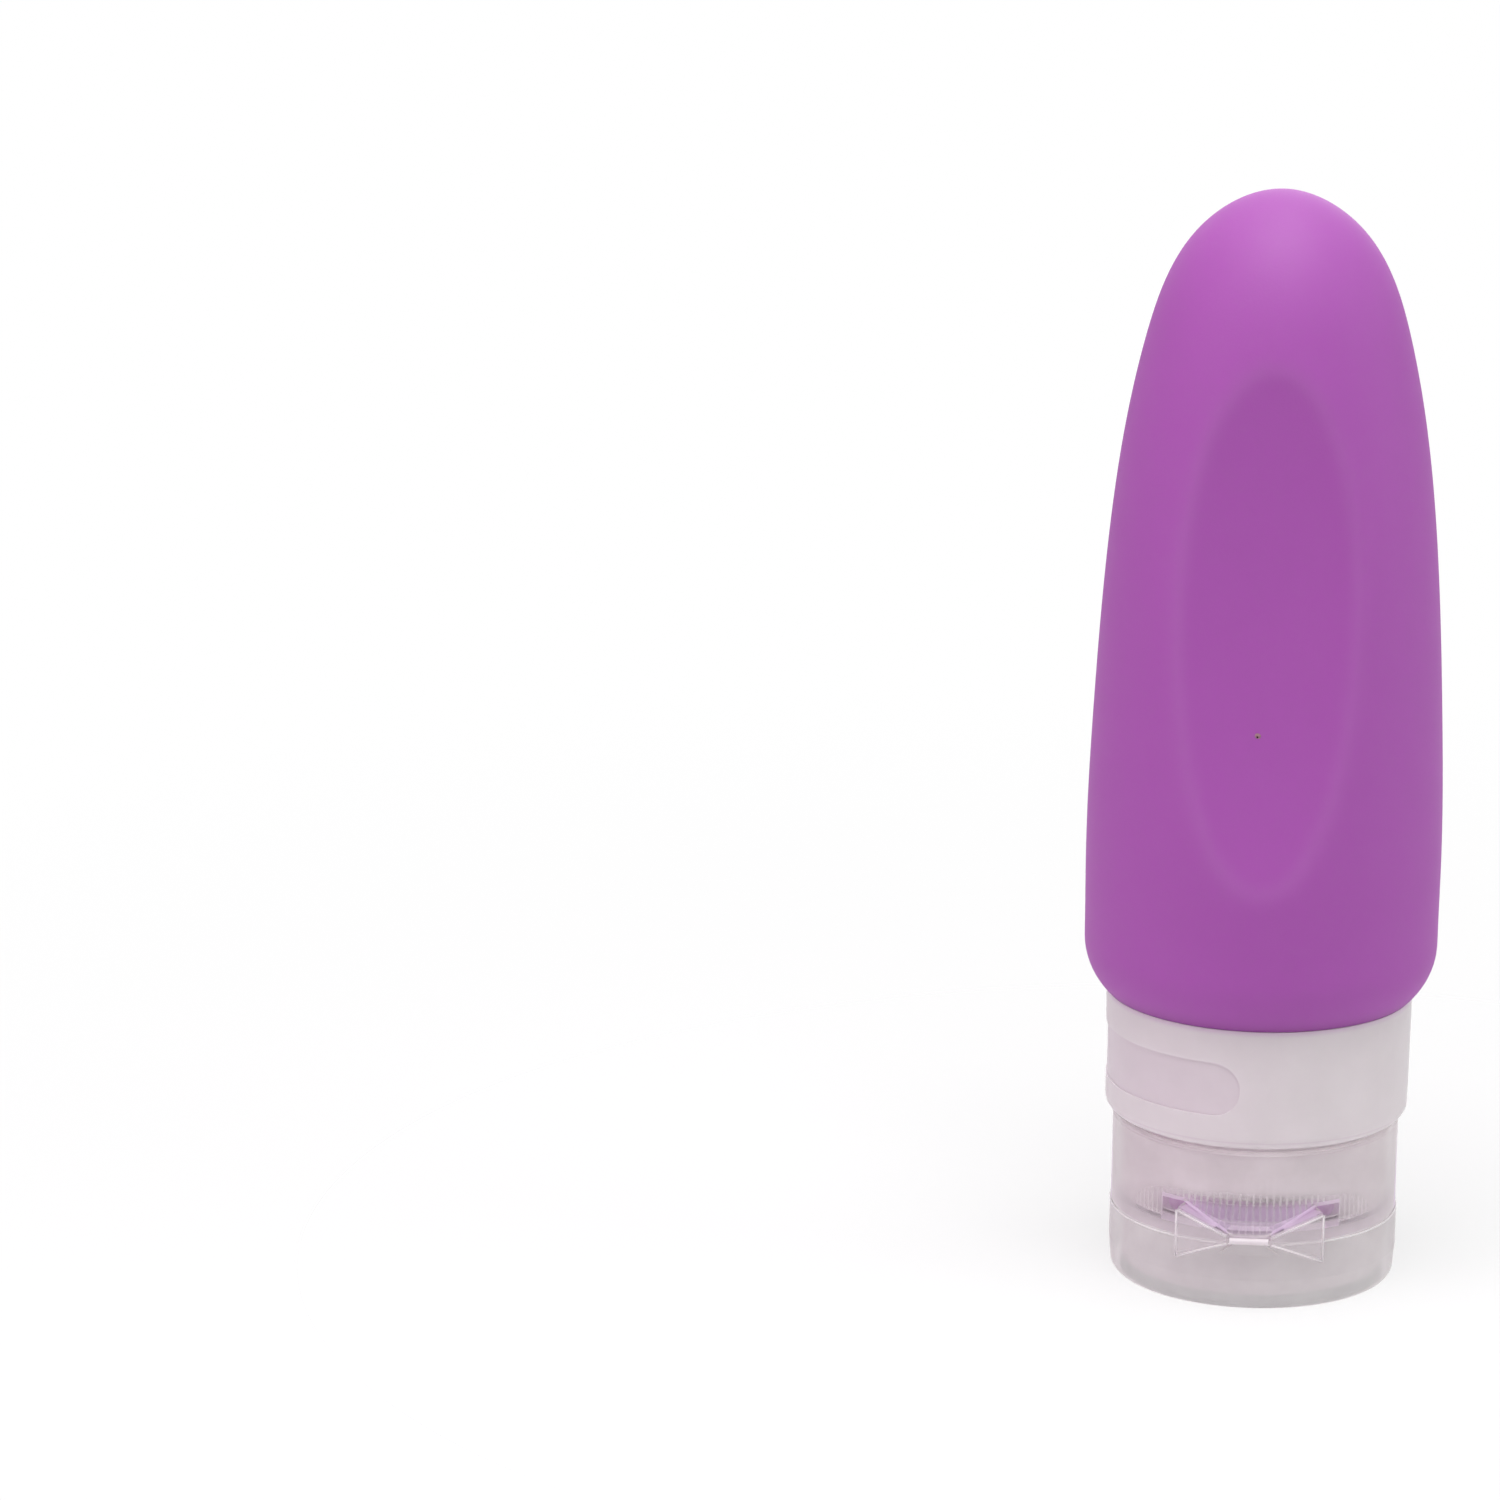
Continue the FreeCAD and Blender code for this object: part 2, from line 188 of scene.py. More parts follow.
# Plastics: darkest and palest colour, roughness and haze, where haze under 1 lets one see through
plastic_looks = {
    "cap_plastic": ((0.71, 0.645, 0.665), (0.77, 0.705, 0.725), 0.32, 0.36),
    "cap_core": ((0.56, 0.49, 0.55), (0.61, 0.54, 0.6), 0.4, 0.85),
    # The thread skirt is paler than the cap's own plastic: painted light inside the cap
    "inner_skirt": ((0.8, 0.74, 0.77), (0.86, 0.8, 0.83), 0.4, 0.7),
    "lid_plastic": ((0.72, 0.67, 0.685), (0.78, 0.73, 0.745), 0.32, 0.42),
    # The lid's stand face: matt, and darker as painted shade
    "matt_shaded_plastic": ((0.63, 0.59, 0.605), (0.7, 0.66, 0.675), 0.5, 0.5),
    # The ribs are paler than the cap's own plastic: painted light catching the ribs
    "rib_plastic": ((0.86, 0.81, 0.83), (0.92, 0.87, 0.89), 0.4, 0.28),
    "faint_plastic": ((0.82, 0.76, 0.79), (0.88, 0.82, 0.85), 0.4, 0.13),
    "wing_plastic": ((0.74, 0.68, 0.71), (0.8, 0.74, 0.77), 0.2, 0.28),
    "bead_plastic": ((0.7, 0.645, 0.675), (0.74, 0.685, 0.715), 0.35, 1),
    # The purple tint of this white plastic is painted light from the silicone lip behind it
    "clear_plastic": ((0.87, 0.7, 0.92), (0.93, 0.76, 0.97), 0.3, 0.18),
    # Paler plastic as a painted highlight on the lid's edge and the window's edges
    "highlight_plastic": ((0.76, 0.72, 0.74), (0.8, 0.76, 0.78), 0.4, 1),
    "collar_plastic": ((0.705, 0.655, 0.675), (0.72, 0.67, 0.69), 0.4, 0.95),
    "pane_plastic": ((0.67, 0.6, 0.64), (0.685, 0.615, 0.655), 0.4, 0.95),
    "neck_plastic": ((0.8, 0.75, 0.77), (0.86, 0.81, 0.83), 0.42, 0.96),
    "label_blank": ((0.7, 0.62, 0.69), (0.76, 0.69, 0.75), 0.5, 0.96),
    "valve_silicone": ((0.74, 0.73, 0.74), (0.8, 0.79, 0.8), 0.5, 1),
    "gate_brown": ((0.3, 0.15, 0.2), (0.42, 0.24, 0.26), 0.6, 1),
}
thinning_plastics = ("cap_plastic", "inner_skirt")
# The collar's top gets painted purple light from the silicone
purple_lit_plastics = ("collar_plastic",)
purple_light_colour = (0.66, 0.36, 0.66)
plastic_index = 1.49
cloud_scale = 160.0
cloud_detail = 3.0
satin_scale = 900.0
satin_detail = 2.0
satin_spread = 0.05
haze_spread = 0.04
# Light spreads inside plastic with more haze than this
milky_haze = 0.8
milky_looks = {
    "Subsurface Weight": 0.5,
    "Subsurface Radius": (1.0, 0.9, 1.0),
    "Subsurface Scale": 0.0012,
}
# Clouds begin and end at these shares of their noise
cloud_end_shares = (0.3, 0.7)
# Milky plastic keeps this share of its cover from the lamps, so that they reach what lies inside
shade_share = 0.05
edge_power = 3.0

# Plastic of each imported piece
node_plastics = {
    "cap_base": "cap_plastic",
    "flip_lid": "lid_plastic",
    "hinge_strap": "bead_plastic",
    "hinge_wing_left": "wing_plastic",
    "hinge_wing_right": "wing_plastic",
    "window_collar": "collar_plastic",
    "neck_sleeve": "neck_plastic",
    "valve_ring": "neck_plastic",
    "label_ring": "label_blank",
    "no_drip_valve": "valve_silicone",
}

# Studio: each lamp's place, width and height, power and colour
lamps = {
    "left_box": ((-0.9, -0.5, 0.45), (0.6, 0.9), 2.9, (1, 0.77, 0.93)),
    "right_box": ((1.05, -0.1, 0.4), (0.6, 0.9), 2.8, (1, 1, 1)),
    "top_box": ((0, -0.15, 1.0), (0.7, 0.6), 7.6, (1, 1, 1)),
    "high_box": ((0, -0.6, 0.95), (0.8, 0.6), 3.5, (1, 1, 1)),
    "back_box": ((0.1, 1.0, 0.5), (0.6, 0.9), 2.0, (1, 1, 1)),
}
lamp_target = Vector((0, 0, 0.07))
ambient_level = 0.15
white = (1, 1, 1, 1)
floor_colour = (0.86, 0.86, 0.86, 1)
floor_veil = 0.65
floor_fade_start = 0.05
floor_fade_end = 0.3
floor_reach = 3.0

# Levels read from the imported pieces
body_low, body_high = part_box("squeeze_body")
collar_low, collar_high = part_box("window_collar")
strap_low, strap_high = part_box("hinge_strap")
tip_height = body_high.z
lip_bottom = body_low.z
shoulder_height = collar_high.z + seat_clearance
collar_radius = collar_high.x
lid_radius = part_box("flip_lid")[1].x
hinge_y = (strap_low.y + strap_high.y) / 2
hinge_z = (strap_low.z + strap_high.z) / 2

# Turns around the bottle and around a bead
ring_turns = np.linspace(0, 2 * np.pi, body_segments, endpoint=False)
bead_turns = np.linspace(0, 2 * np.pi, bead_sides, endpoint=False)


def node_tree(owner, output_kind):
    """Empty node tree of a material or world with its output node."""
    owner.use_nodes = True
    tree = owner.node_tree
    tree.nodes.clear()
    return tree, tree.nodes.new(output_kind)


def add(tree, kind, **settings):
    """New node of a kind with its settings."""
    made = tree.nodes.new(kind)
    for name, value in settings.items():
        setattr(made, name, value)
    return made


def feed(tree, source, socket):
    """A socket linked to another node's output, or set to a plain value."""
    if isinstance(source, bpy.types.NodeSocket):
        tree.links.new(source, socket)
    else:
        socket.default_value = source


def maths(tree, operation, first, second):
    """Result of a sum on two values."""
    made = add(tree, "ShaderNodeMath", operation=operation)
    feed(tree, first, made.inputs[0])
    feed(tree, second, made.inputs[1])
    return made.outputs["Value"]


def ranged(tree, value, target, span=(0, 1), kind="LINEAR"):
    """Value moved from a span of levels to a target span."""
    made = add(tree, "ShaderNodeMapRange", interpolation_type=kind)
    feed(tree, value, made.inputs["Value"])
    for name, level in zip(("From Min", "From Max", "To Min", "To Max"), (*span, *target)):
        feed(tree, level, made.inputs[name])
    return made.outputs["Result"]


def noise(tree, place, scale, detail):
    """Noise in the piece's own coordinates."""
    made = add(tree, "ShaderNodeTexNoise")
    feed(tree, place, made.inputs["Vector"])
    feed(tree, scale, made.inputs["Scale"])
    feed(tree, detail, made.inputs["Detail"])
    return made.outputs["Fac"]


def clouded(tree, clouds, colours):
    """Colour that goes from the first to the second with the clouds of a noise."""
    made = add(tree, "ShaderNodeValToRGB")
    for i, colour in enumerate(colours):
        made.color_ramp.elements[i].position = cloud_end_shares[i]
        made.color_ramp.elements[i].color = (*colour, 1)
    feed(tree, clouds, made.inputs["Fac"])
    return made.outputs["Color"]


def tinted(tree, share, colour, tint):
    """Colour mixed with a share of a tint."""
    made = add(tree, "ShaderNodeMix", data_type="RGBA")
    feed(tree, share, made.inputs["Factor"])
    feed(tree, colour, made.inputs["A"])
    feed(tree, (*tint, 1), made.inputs["B"])
    return made.outputs["Result"]


def object_place(tree):
    """Place in the piece's own coordinates."""
    return add(tree, "ShaderNodeTexCoord").outputs["Object"]


def height_of(tree, place):
    """Height of a place."""
    made = add(tree, "ShaderNodeSeparateXYZ")
    feed(tree, place, made.inputs["Vector"])
    return made.outputs["Z"]


def point_value(tree, name):
    """Value that the mesh holds at each point."""
    return add(tree, "ShaderNodeAttribute", attribute_name=name).outputs["Fac"]


def surface(tree, output, looks):
    """Main shader with its looks on the material's surface."""
    shader = add(tree, "ShaderNodeBsdfPrincipled")
    for name, source in looks.items():
        feed(tree, source, shader.inputs[name])
    tree.links.new(shader.outputs["BSDF"], output.inputs["Surface"])


def silicone_purple():
    """Matt, slightly see-through silicone with a fine moulded grain and faint clouds of pigment."""
    material = bpy.data.materials.new("silicone_purple")
    tree, output = node_tree(material, "ShaderNodeOutputMaterial")
    place = object_place(tree)
    pigment = noise(tree, place, pigment_scale, pigment_detail)
    colour = clouded(tree, pigment, silicone_colours)
    # Painted sheen on the tip and the dishes' rims, and painted light on the thin lip, make them paler
    colour = tinted(tree, point_value(tree, "painted_light"), colour, painted_light_colour)
    # Painted shade darkens the silicone at the seam with the collar
    colour = tinted(tree, point_value(tree, "painted_shade"), colour, seam_shade_colour)
    grain = add(tree, "ShaderNodeBump")
    feed(tree, grain_strength, grain.inputs["Strength"])
    feed(tree, grain_rise, grain.inputs["Distance"])
    feed(tree, noise(tree, place, grain_scale, grain_detail), grain.inputs["Height"])
    surface(tree, output, silicone_looks | {"Base Color": colour, "Normal": grain.outputs["Normal"]})
    return material


def away_from_pocket(tree, place):
    """0 in the thin wall around the hinge pocket, rising to 1 away from it."""
    offset = add(tree, "ShaderNodeVectorMath", operation="SUBTRACT")
    feed(tree, place, offset.inputs[0])
    feed(tree, thin_middle, offset.inputs[1])
    share = add(tree, "ShaderNodeVectorMath", operation="DIVIDE")
    feed(tree, offset.outputs["Vector"], share.inputs[0])
    feed(tree, thin_reach, share.inputs[1])
    distance = add(tree, "ShaderNodeVectorMath", operation="LENGTH")
    feed(tree, share.outputs["Vector"], distance.inputs[0])
    fade = ranged(tree, distance.outputs["Value"], (0, 1), (thin_start_share, thin_end_share), "SMOOTHSTEP")
    foot = ranged(tree, height_of(tree, place), (1, 0), (thin_low, thin_high), "SMOOTHSTEP")
    return maths(tree, "MAXIMUM", fade, foot)


def purple_lit(tree, place, colour):
    """A colour that turns purple near the top of the collar: painted purple light where the silicone shines
    through.
    """
    span = (collar_high.z - purple_light_depth, collar_high.z)
    share = ranged(tree, height_of(tree, place), (0, purple_light_share), span, "SMOOTHSTEP")
    return tinted(tree, share, colour, purple_light_colour)


def cover(tree, place, clouds, haze, thins):
    """How much a milky wall hides; one that thins is clearer around the hinge pocket."""
    veil = ranged(tree, clouds, (haze - haze_spread, haze + haze_spread))
    if thins:
        veil = ranged(tree, away_from_pocket(tree, place), (thin_haze, veil))
    # A look along the wall passes through more of it
    slant = add(tree, "ShaderNodeLayerWeight").outputs["Facing"]
    thick = ranged(tree, maths(tree, "POWER", slant, edge_power), (veil, 1))
    shadow = add(tree, "ShaderNodeLightPath").outputs["Is Shadow Ray"]
    return maths(tree, "MULTIPLY", thick, ranged(tree, shadow, (1, shade_share)))


def moulded_plastic(name):
    """Natural polypropylene: milky and a little cloudy, with a fine satin skin."""
    dark_colour, bright_colour, roughness, haze = plastic_looks[name]
    material = bpy.data.materials.new(name)
    tree, output = node_tree(material, "ShaderNodeOutputMaterial")
    place = object_place(tree)
    clouds = noise(tree, place, cloud_scale, cloud_detail)
    colour = clouded(tree, clouds, (dark_colour, bright_colour))
    # Painted purple light from the silicone on the collar's top
    if name in purple_lit_plastics:
        colour = purple_lit(tree, place, colour)
    satin = noise(tree, place, satin_scale, satin_detail)
    skin = ranged(tree, satin, (roughness - satin_spread, roughness + satin_spread))
    looks = {"Base Color": colour, "IOR": plastic_index, "Roughness": skin}
    if haze > milky_haze:
        looks |= milky_looks
    if haze < 1:
        looks["Alpha"] = cover(tree, place, clouds, haze, name in thinning_plastics)
    surface(tree, output, looks)
    return material


def mesh_piece(name, points, faces, material, body, smooth=True):
    """Mesh object of a piece that rides on a body."""
    mesh = bpy.data.meshes.new(name)
    mesh.from_pydata([tuple(p) for p in points], [], faces)
    mesh.validate()
    mesh.polygons.foreach_set("use_smooth", [smooth] * len(mesh.polygons))
    mesh.materials.append(material)
    piece = bpy.data.objects.new(name, mesh)
    bpy.context.scene.collection.objects.link(piece)
    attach(piece, body)
    return piece


def around(radius, angle, height):
    """Points at an angle in radians from the hinge side, turning towards +X."""
    radius, angle, height = np.broadcast_arrays(radius, angle, height)
    return np.stack([radius * np.sin(angle), -radius * np.cos(angle), height], -1)


def lathe_faces(ring_count, segments):
    """Quads between rings that each have the same number of points."""
    faces = []
    for ring in range(ring_count - 1):
        low = ring * segments
        for i in range(segments):
            j = (i + 1) % segments
            faces.append((low + i, low + segments + i, low + segments + j, low + j))
    return faces


def strip_faces(sections, corners, first):
    """Faces of a bar made of sections with the same number of corners, with both ends closed."""
    faces = []
    for step in range(sections - 1):
        low = first + step * corners
        for i in range(corners):
            j = (i + 1) % corners
            faces.append((low + i, low + j, low + corners + j, low + corners + i))
    last = first + (sections - 1) * corners
    faces.append(tuple(first + i for i in reversed(range(corners))))
    faces.append(tuple(last + i for i in range(corners)))
    return faces


def node_radii(node, height_share):
    """Smallest and largest radius of a round node's points below a share of its height."""
    low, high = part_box(node)
    level = low.z + (high.z - low.z) * height_share
    points = np.array([v.co for v in nodes[node].data.vertices])
    radii = np.hypot(points[:, 0], points[:, 1])[points[:, 2] < level]
    return radii.min(), radii.max()


def smooth_curve(points, first_slope, last_slope, count):
    """Points of the evenly bent cubic curve through the given points, with its end directions given."""
    points = np.array(points, float)
    steps = np.linalg.norm(np.diff(points, axis=0), axis=1)
    knots = np.concatenate([[0], np.cumsum(steps)])
    n = len(points)
    system = np.zeros((n, n))
    right = np.zeros((n, 2))
    system[0, 0] = 1
    system[-1, -1] = 1
    right[0] = first_slope
    right[-1] = last_slope
    for i in range(1, n - 1):
        before, after = steps[i - 1], steps[i]
        system[i, i - 1:i + 2] = after, 2 * (before + after), before
        rise_before = (points[i] - points[i - 1]) / before
        rise_after = (points[i + 1] - points[i]) / after
        right[i] = 3 * (rise_after * before + rise_before * after)
    slopes = np.linalg.solve(system, right)
    at = np.linspace(0, knots[-1], count)
    span = np.clip(np.searchsorted(knots, at, side="right") - 1, 0, n - 2)
    width = steps[span][:, None]
    t = (at - knots[span])[:, None] / width
    ends = (2 * t**3 - 3 * t**2 + 1) * points[span] + (3 * t**2 - 2 * t**3) * points[span + 1]
    bends = (t**3 - 2 * t**2 + t) * slopes[span] + (t**3 - t**2) * slopes[span + 1]
    return ends + bends * width


def side_profile(inset):
    """Radius and height along the body's side, from the tip down to the shoulder, drawn in by inset."""
    corner = (collar_radius + shoulder_overhang - inset, shoulder_height + shoulder_rise)
    widest = (body_radius - inset, corner[1] + widest_rise)
    tip = (0, tip_height - inset)
    rise = tip[1] - widest[1]
    side = [(widest[0] * r, widest[1] + rise * z) for r, z in side_shares]
    upper = smooth_curve([corner, widest] + side + [tip], (0, 1), (-1, 0), body_rings)
    seat = (collar_radius - inset, shoulder_height + inset)
    run, drop = corner[0] - seat[0], corner[1] - seat[1]
    arc_radius = (run * run + drop * drop) / (2 * run)
    sweep = np.linspace(math.asin(drop / arc_radius), 0, shoulder_rings)[:-1]
    radius = corner[0] - arc_radius * (1 - np.cos(sweep))
    height = corner[1] - arc_radius * np.sin(sweep)
    lower = np.stack([radius, height], 1)
    return np.concatenate([lower, upper])[::-1]


def dish_reach(height, inset):
    """Distance of the dish's floor from the bottle's middle plane at a height."""
    low = Vector((body_radius, shoulder_height + shoulder_rise + widest_rise))
    radius_share, height_share = side_shares[dish_end_row]
    high = Vector((body_radius * radius_share, low.y + (tip_height - low.y) * height_share))
    run = high - low
    across = Vector((run.y, -run.x)).normalized()
    sag = dish_depth * across.x
    arc_radius = ((run.length / 2) ** 2 + sag * sag) / (2 * sag)
    centre = low + run / 2 + across * (arc_radius - sag)
    return centre.x - np.sqrt((arc_radius + inset) ** 2 - (height - centre.y) ** 2)


def body_rings_of(profile, inset):
    """Points of the body's rings down a profile, with the two dishes pressed in and their rims rounded.

    The second result, the mask of the painted sheen on the rims, is 1 along the rims and fades to 0 beside
    them.
    """
    radius, height = profile[:, :1], profile[:, 1:]
    angle = ring_turns[None, :]
    along = np.cumsum(np.hypot(*np.diff(profile, axis=0, prepend=profile[:1]).T))
    depth = radius * np.abs(np.cos(angle)) - dish_reach(height, inset)
    slope = np.hypot(np.gradient(depth, along, axis=0), np.gradient(depth, ring_turns, axis=1) / radius)
    # Distance into the dish from its rim, along the surface
    inward = depth / np.maximum(slope, least_slope)
    rounded = slope * np.clip(inward + dish_rim_round, 0, None) ** 2 / (4 * dish_rim_round)
    pressed = np.where(inward > dish_rim_round, depth, rounded)
    across = radius * np.sin(angle)
    out = np.cos(angle) * radius - np.sign(np.cos(angle)) * pressed
    points = np.stack([across, -out, np.broadcast_to(height, across.shape)], -1)
    return points, np.exp(-((inward - rim_sheen_place) / rim_sheen_width) ** 2)


def hold_values(piece, name, values):
    """Keep a value at each point of a piece for its material."""
    piece.data.attributes.new(name, "FLOAT", "POINT").data.foreach_set("value", values)


def silicone_body(material):
    """Hollow body with dishes, throat and the lip that is turned over the neck's end."""
    neck_inner, neck_outer = node_radii("neck_sleeve", neck_foot_share)
    throat_outer = neck_inner - ring_clearance
    throat_inner = throat_outer - throat_wall
    turn_inner = neck_outer + ring_clearance
    lip_top = lip_bottom + lip_thickness
    lip_outer = turn_inner + lip_wall
    turn_top = lip_top + lip_turn_height
    floor_height = shoulder_height + body_wall
    path = (
        (throat_outer + corner_round, shoulder_height),
        (throat_outer, shoulder_height - corner_round),
        (throat_outer, lip_top),
        (turn_inner, lip_top),
        (turn_inner, turn_top - corner_round),
        (turn_inner + corner_round, turn_top),
        (lip_outer - corner_round, turn_top),
        (lip_outer, turn_top - corner_round),
        (lip_outer, lip_bottom + corner_round),
        (lip_outer - corner_round, lip_bottom),
        (throat_inner + corner_round, lip_bottom),
        (throat_inner, lip_bottom + corner_round),
        (throat_inner, floor_height - corner_round),
        (throat_inner + corner_round, floor_height),
    )
    outside, rim = body_rings_of(side_profile(0)[1:], 0)
    neck = [around(r, ring_turns, z) for r, z in path]
    inside, _ = body_rings_of(side_profile(body_wall)[:0:-1], body_wall)
    rings = np.concatenate([outside, neck, inside])
    points = rings.reshape(-1, 3)
    faces = lathe_faces(len(rings), body_segments)
    outer_tip = len(points)
    inner_tip = outer_tip + 1
    points = np.concatenate([points, [(0, 0, tip_height), (0, 0, tip_height - body_wall)]])
    last = outer_tip - body_segments
    for i in range(body_segments):
        j = (i + 1) % body_segments
        faces.append((outer_tip, i, j))
        faces.append((inner_tip, last + j, last + i))
    piece = mesh_piece("silicone_body", points, faces, material, "bottle")
    height = points[:, 2]
    # The tip and the rims of the dishes are paler with a painted sheen, and the thin lip is paler with
    # painted light
    painted_light = tip_sheen_share * np.exp((height - tip_height) / tip_sheen_reach)
    painted_light[height < turn_top + corner_round] = lip_light_share
    painted_light[:rim.size] += rim.ravel() * rim_sheen_share
    hold_values(piece, "painted_light", painted_light)
    # Painted shade darkens the seam with the collar
    hold_values(piece, "painted_shade", seam_shade_share * np.exp(-np.abs(height - shoulder_height) / seam_reach))
    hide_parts("squeeze_body")
    return piece


def gate_mark(material):
    """Small mark on the dish where the mould was filled."""
    angle = math.radians(gate_angle)
    middle = Vector(around(dish_reach(gate_height, 0) - sink, angle, gate_height).tolist())
    out = Vector((math.sin(angle), -math.cos(angle), 0))
    plumb = Vector((0, 0, 1))
    across = plumb.cross(out)
    points = []
    for width_share, rise_share in gate_rim_shares:
        for turn in bead_turns:
            swing = across * math.cos(turn) + plumb * math.sin(turn)
            points.append(middle + swing * gate_radius * width_share + out * gate_rise * rise_share)
    faces = lathe_faces(len(gate_rim_shares), bead_sides)
    faces.append(tuple(range(len(points) - bead_sides, len(points))))
    return mesh_piece("gate_mark", points, faces, material, "bottle")


def thread(name, radius, depth, material, body):
    """Helical ridge on a round wall, outward for a positive depth, that fades out at both ends."""
    turn = np.linspace(0, 2 * np.pi * thread_turns, thread_steps)
    height = thread_start + thread_pitch * turn / (2 * np.pi)
    full = np.clip(np.minimum(turn, turn[-1] - turn) / math.radians(fade_turn), 0, 1)
    base = radius - math.copysign(sink, depth)
    top = base + depth * full
    rows = (
        (base, height - thread_foot / 2),
        (top, height - thread_crest / 2),
        (top, height + thread_crest / 2),
        (base, height + thread_foot / 2),
    )
    points = np.stack([around(r, turn, z) for r, z in rows], 1).reshape(-1, 3)
    return mesh_piece(name, points, strip_faces(thread_steps, len(rows), 0), material, body)


def rib_sections(angle):
    """Radius and height at both ends of the ribs at an angle, on the skirt and on the tongue."""
    aside = abs(skirt_radius * math.sin(angle))
    in_front = math.cos(angle) > 0
    if not in_front or aside > pocket_half_width:
        return [((skirt_radius, deck_top), (skirt_radius, rib_top))]
    ribs = [((skirt_radius, pocket_top), (skirt_radius, rib_top))]
    if aside < tongue_half_width:
        share = max(0, (aside - tongue_foot_half_width) / (tongue_half_width - tongue_foot_half_width))
        foot_radius = tongue_radius + (tongue_top_radius - tongue_radius) * share
        foot_height = tongue_foot + (pocket_top - tongue_foot) * share
        ribs.append(((foot_radius, foot_height), (tongue_top_radius, pocket_top)))
    return ribs


def skirt_ribs(material):
    """Upright ribs around the inside of the cap's outer skirt."""
    corners = (
        (-sink, -rib_foot),
        (rib_depth, -rib_crest),
        (rib_depth, rib_crest),
        (-sink, rib_foot),
    )
    points = []
    faces = []
    for step in range(rib_count):
        angle = 2 * math.pi * (step + 1 / 2) / rib_count
        for ends in rib_sections(angle):
            faces += strip_faces(len(ends), len(corners), len(points))
            for radius, height in ends:
                for inset, width in corners:
                    points.append(around(radius - inset, angle + width / (2 * radius), height))
    return mesh_piece("skirt_ribs", points, faces, material, "cap", smooth=False)


def lid_edge(material):
    """Fine round edge of the lid along the parting line, in paler plastic as a painted highlight."""
    rows = []
    for turn in bead_turns:
        radius = lid_radius - sink + lid_edge_round * math.cos(turn)
        rows.append(around(radius, ring_turns, lid_edge_height + lid_edge_round * math.sin(turn)))
    points = np.concatenate(rows + rows[:1])
    return mesh_piece("lid_edge", points, lathe_faces(bead_sides + 1, body_segments), material, "lid")


def bar(first, last, radius):
    """Points of the two end sections of a straight round bar."""
    run = (last - first).normalized()
    side = run.orthogonal().normalized()
    up = run.cross(side)
    rim = [(side * math.cos(turn) + up * math.sin(turn)) * radius for turn in bead_turns]
    return [end + r for end in (first, last) for r in rim]


def wing_beads(name, side, material, body):
    """Thick edges of a wing of the hinge, on its outer face."""
    setback = (wing_outer_y - hinge_y) * wing_inner_half_height / wing_outer_half_height
    inner = Vector((side * wing_inner_x, hinge_y + setback, hinge_z))
    outer = Vector((side * wing_outer_x, wing_outer_y, hinge_z))
    run = outer - inner
    outward = Vector((run.y * side, -run.x * side, 0)).normalized() * bead_offset
    inner_rise = Vector((0, 0, wing_inner_half_height))
    outer_rise = Vector((0, 0, wing_outer_half_height))
    high_inner = inner + outward + inner_rise
    high_outer = outer + outward + outer_rise
    low_inner = inner + outward - inner_rise
    low_outer = outer + outward - outer_rise
    points = []
    faces = []
    for first, last in ((high_inner, high_outer), (low_inner, low_outer), (high_outer, low_outer)):
        faces += strip_faces(2, bead_sides, len(points))
        points += bar(first, last, bead_radius)
    return mesh_piece(name, points, faces, material, body)


def dress(node, material):
    """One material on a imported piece."""
    slots = nodes[node].data.materials
    slots.clear()
    slots.append(material)


def dress_part(piece, material, belongs):
    """Another material on those faces of a piece whose centre and normal pass a test."""
    mesh = piece.data
    mesh.materials.append(material)
    for face in mesh.polygons:
        if belongs(face.center, face.normal):
            face.material_index = len(mesh.materials) - 1


def radius_of(place):
    """Distance of a place from the bottle's axis."""
    return math.hypot(place.x, place.y)


def outward_share(place, normal):
    """How far a normal points away from the bottle's axis."""
    return (normal.x * place.x + normal.y * place.y) / radius_of(place)


def in_core(place, normal):
    """Faces of the cap base inside its outer skirt, and all of its deck."""
    deck = abs(normal.z) > level_share and place.z < deck_top + sink
    return deck or radius_of(place) < cap_core_radius


def in_thread_skirt(place, normal):
    """Round walls of the cap base's inner skirt."""
    return in_core(place, normal) and abs(normal.z) < steep_share and place.z > deck_top


def in_tongue(place, normal):
    """Faces on the cap base's lip in front of the hinge pocket."""
    in_front = place.y < 0 and abs(place.x) < tongue_half_width
    return in_front and radius_of(place) > cap_core_radius and deck_top < place.z < pocket_top


def in_pocket_wall(place, normal):
    """Cut faces of the hinge pocket in the outer skirt."""
    cut = abs(normal.x) > cut_share or abs(normal.z) > cut_share
    in_skirt = place.y < 0 and radius_of(place) > cap_core_radius
    return cut and in_skirt and deck_top < place.z < pocket_top + sink


def in_stand_face(place, normal):
    """Flat face of the lid that the bottle stands on."""
    return normal.z < -level_share and place.z < sink


def in_window_edge(place, normal):
    """Upright edge around the collar's window pane."""
    inside = collar_low.z + window_margin < place.z < collar_high.z - window_margin
    near = radius_of(place) > pane_radius - pane_slack
    return inside and near and abs(outward_share(place, normal)) < steep_share


def in_window_pane(place, normal):
    """Sunk outer face of the collar's window."""
    return outward_share(place, normal) > steep_share and abs(radius_of(place) - pane_radius) < pane_slack


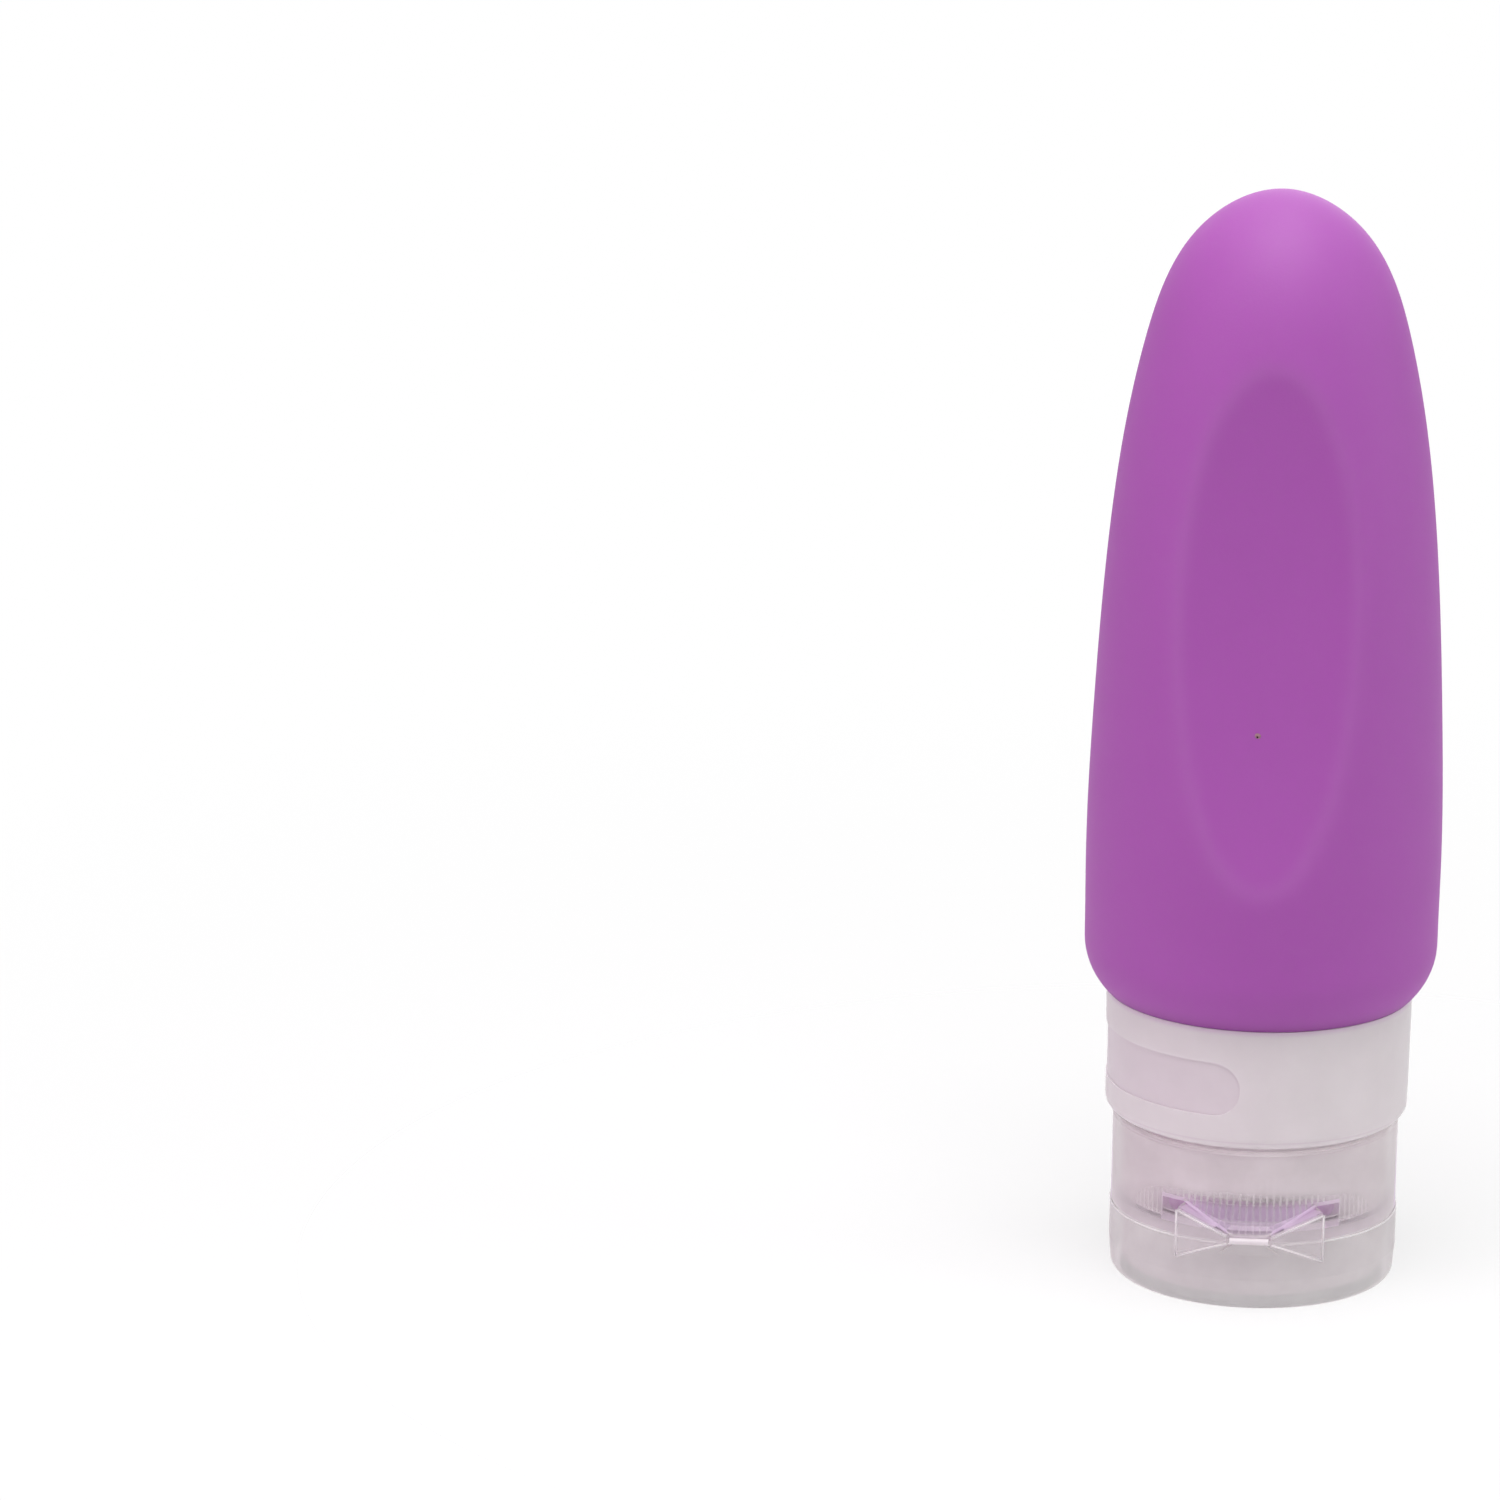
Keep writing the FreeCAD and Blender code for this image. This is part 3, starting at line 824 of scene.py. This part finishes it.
def place_camera():
    """Camera of the photograph: the foot's centre lands on its pixel at the fitted distance."""
    turn = Matrix.Rotation(math.radians(camera_heading), 3, "Z")
    pitch = math.radians(camera_pitch)
    roll = math.radians(camera_roll)
    forward = turn @ Vector((0, math.cos(pitch), -math.sin(pitch)))
    level = turn @ Vector((1, 0, 0))
    plumb = forward.cross(level)
    right = level * math.cos(roll) + plumb * math.sin(roll)
    down = plumb * math.cos(roll) - level * math.sin(roll)
    across = (foot_pixel[0] - photo_side / 2) / focal_pixels * foot_depth
    below = (foot_pixel[1] - photo_side / 2) / focal_pixels * foot_depth
    eye = -(right * across + down * below + forward * foot_depth)
    data = bpy.data.cameras.new("camera")
    data.sensor_width = sensor_width
    data.lens = focal_pixels / photo_side * sensor_width
    camera = bpy.data.objects.new("camera", data)
    axes = Matrix((right, -down, -forward)).transposed().to_4x4()
    camera.matrix_world = Matrix.Translation(eye) @ axes
    bpy.context.scene.collection.objects.link(camera)
    bpy.context.scene.camera = camera


def soft_box(name):
    """Large soft lamp that faces the bottle."""
    place, size, power, colour = lamps[name]
    data = bpy.data.lights.new(name, "AREA")
    data.shape = "RECTANGLE"
    data.size, data.size_y = size
    data.energy = power
    data.color = colour
    lamp = bpy.data.objects.new(name, data)
    lamp.location = place
    lamp.rotation_mode = "QUATERNION"
    lamp.rotation_quaternion = (lamp_target - Vector(place)).to_track_quat("-Z", "Y")
    bpy.context.scene.collection.objects.link(lamp)


def studio_world():
    """White for what the camera, reflections and clear plastic see, and even grey light for the rest."""
    world = bpy.data.worlds.new("studio")
    tree, output = node_tree(world, "ShaderNodeOutputWorld")
    rays = add(tree, "ShaderNodeLightPath").outputs
    clear = maths(tree, "MAXIMUM", rays["Is Glossy Ray"], rays["Is Transmission Ray"])
    seen = maths(tree, "MAXIMUM", rays["Is Camera Ray"], clear)
    light = add(tree, "ShaderNodeBackground")
    feed(tree, white, light.inputs["Color"])
    feed(tree, ranged(tree, seen, (ambient_level, 1)), light.inputs["Strength"])
    tree.links.new(light.outputs["Background"], output.inputs["Surface"])
    bpy.context.scene.world = world


def floor_material():
    """Pale matt floor that the camera sees white away from the bottle, and with a soft shadow near it."""
    material = bpy.data.materials.new("floor")
    tree, output = node_tree(material, "ShaderNodeOutputMaterial")
    distance = add(tree, "ShaderNodeVectorMath", operation="LENGTH")
    feed(tree, object_place(tree), distance.inputs[0])
    span = (floor_fade_start, floor_fade_end)
    fade = ranged(tree, distance.outputs["Value"], (floor_veil, 1), span, "SMOOTHSTEP")
    seen = add(tree, "ShaderNodeLightPath").outputs["Is Camera Ray"]
    matt = add(tree, "ShaderNodeBsdfDiffuse")
    feed(tree, floor_colour, matt.inputs["Color"])
    clear = add(tree, "ShaderNodeBsdfTransparent")
    both = add(tree, "ShaderNodeMixShader")
    feed(tree, maths(tree, "MULTIPLY", seen, fade), both.inputs["Fac"])
    feed(tree, matt.outputs["BSDF"], both.inputs[1])
    feed(tree, clear.outputs["BSDF"], both.inputs[2])
    tree.links.new(both.outputs["Shader"], output.inputs["Surface"])
    return material


def floor():
    """Level plane under the bottle."""
    corners = [(x * floor_reach, y * floor_reach, 0) for x, y in ((-1, -1), (1, -1), (1, 1), (-1, 1))]
    mesh = bpy.data.meshes.new("floor")
    mesh.from_pydata(corners, [], [(0, 1, 2, 3)])
    mesh.materials.append(floor_material())
    plane = bpy.data.objects.new("floor", mesh)
    bpy.context.scene.collection.objects.link(plane)


bpy.context.scene.view_settings.view_transform = "Standard"
plastics = {name: moulded_plastic(name) for name in plastic_looks}

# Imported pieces
for node, plastic in node_plastics.items():
    dress(node, plastics[plastic])
dress_part(nodes["cap_base"], plastics["cap_core"], in_core)
dress_part(nodes["cap_base"], plastics["inner_skirt"], in_thread_skirt)
# The tongue and the pocket's walls carry a purple tint of painted light from the silicone lip
dress_part(nodes["cap_base"], plastics["clear_plastic"], in_tongue)
dress_part(nodes["cap_base"], plastics["clear_plastic"], in_pocket_wall)
# The stand face is matt and darker as painted shade
dress_part(nodes["flip_lid"], plastics["matt_shaded_plastic"], in_stand_face)
# The window's edges are paler as a painted highlight
dress_part(nodes["window_collar"], plastics["highlight_plastic"], in_window_edge)
dress_part(nodes["window_collar"], plastics["pane_plastic"], in_window_pane)

# Pieces of the scene's own
silicone_body(silicone_purple())
gate_mark(plastics["gate_brown"])
neck_radius = node_radii("neck_sleeve", neck_foot_share)[1]
thread("neck_thread", neck_radius, neck_thread_depth, plastics["neck_plastic"], "bottle")
thread("cap_thread", cap_thread_radius, -cap_thread_depth, plastics["cap_plastic"], "cap")
dress_part(skirt_ribs(plastics["rib_plastic"]), plastics["faint_plastic"], in_tongue)
lid_edge(plastics["highlight_plastic"])
wing_beads("wing_beads_left", -1, plastics["bead_plastic"], "wing_left")
wing_beads("wing_beads_right", 1, plastics["bead_plastic"], "wing_right")

# Studio
floor()
for name in lamps:
    soft_box(name)
studio_world()
place_camera()
